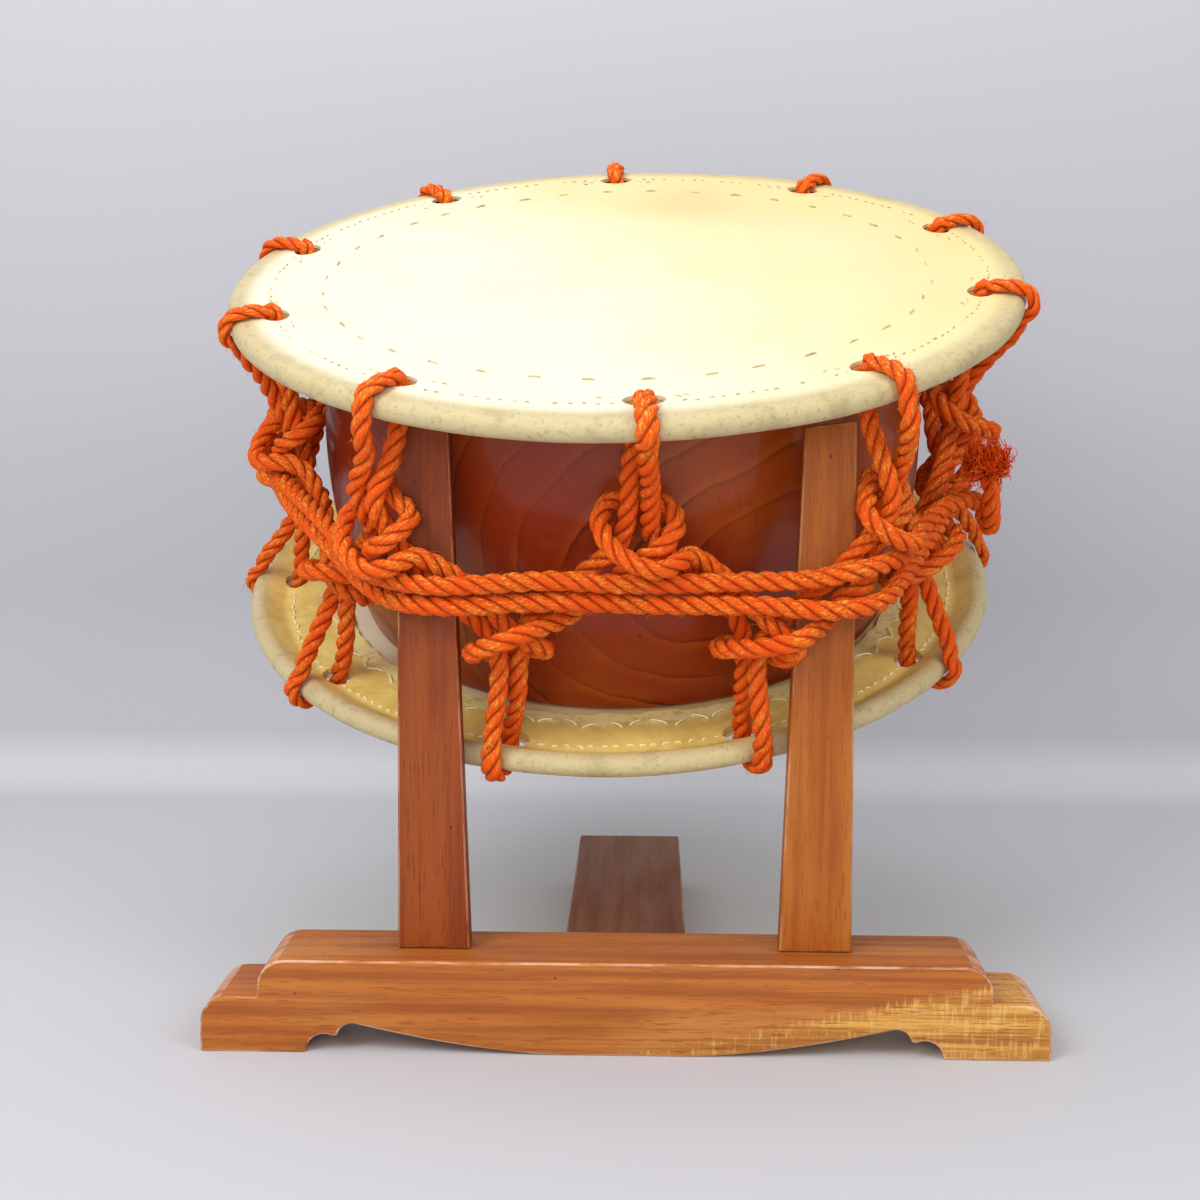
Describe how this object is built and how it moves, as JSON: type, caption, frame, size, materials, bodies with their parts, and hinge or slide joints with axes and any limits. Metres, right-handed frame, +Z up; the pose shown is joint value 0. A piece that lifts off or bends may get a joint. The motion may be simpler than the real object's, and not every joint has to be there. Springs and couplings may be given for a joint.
{
  "type": "shime_daiko",
  "caption": "Shime daiko: a hollowed barrel drum with two laced rawhide heads and orange rope, resting on its low T-shaped wooden stand with two posts.",
  "frame": {"origin": "the middle of the front board's flat middle foot, on the floor", "axes": "X to the right seen from the front, Y away from the front board towards the end of the rear beam, Z up"},
  "size_m": [0.3663, 0.39, 0.3822],
  "materials": {
    "lacquered_wood": "glossy red-brown lacquer over turned, broad-grained wood",
    "rawhide": "dry cream rawhide, semi-matte, a little translucent",
    "iron": "plain forged iron rod, hidden in the skin's fold",
    "orange_rope": "three-strand laid cord, orange, slightly hairy",
    "frayed_rope": "loose dark red fibres of the rope's frayed end",
    "board_wood": "planed hardwood with a thin satin finish, worn on its edges",
    "post_wood": "planed hardwood with a thin satin finish",
    "beam_wood": "darker planed hardwood with a thin satin finish"
  },
  "bodies": {
    "stand": {"front_board": "board_wood", "left_post": "post_wood", "right_post": "post_wood", "rear_beam": "beam_wood"},
    "drum": {"body_shell": "lacquered_wood", "top_skin": "rawhide", "top_ring": "iron", "bottom_skin": "rawhide", "bottom_ring": "iron", "lacing_rope": "orange_rope", "waist_rope": "orange_rope", "waist_rope_tuft": "frayed_rope"}
  },
  "joints": [
    {"name": "drum_lift", "type": "slide", "parent": "stand", "child": "drum", "axis": [0, 0, 1], "range_m": [0, 0.16]}
  ]
}
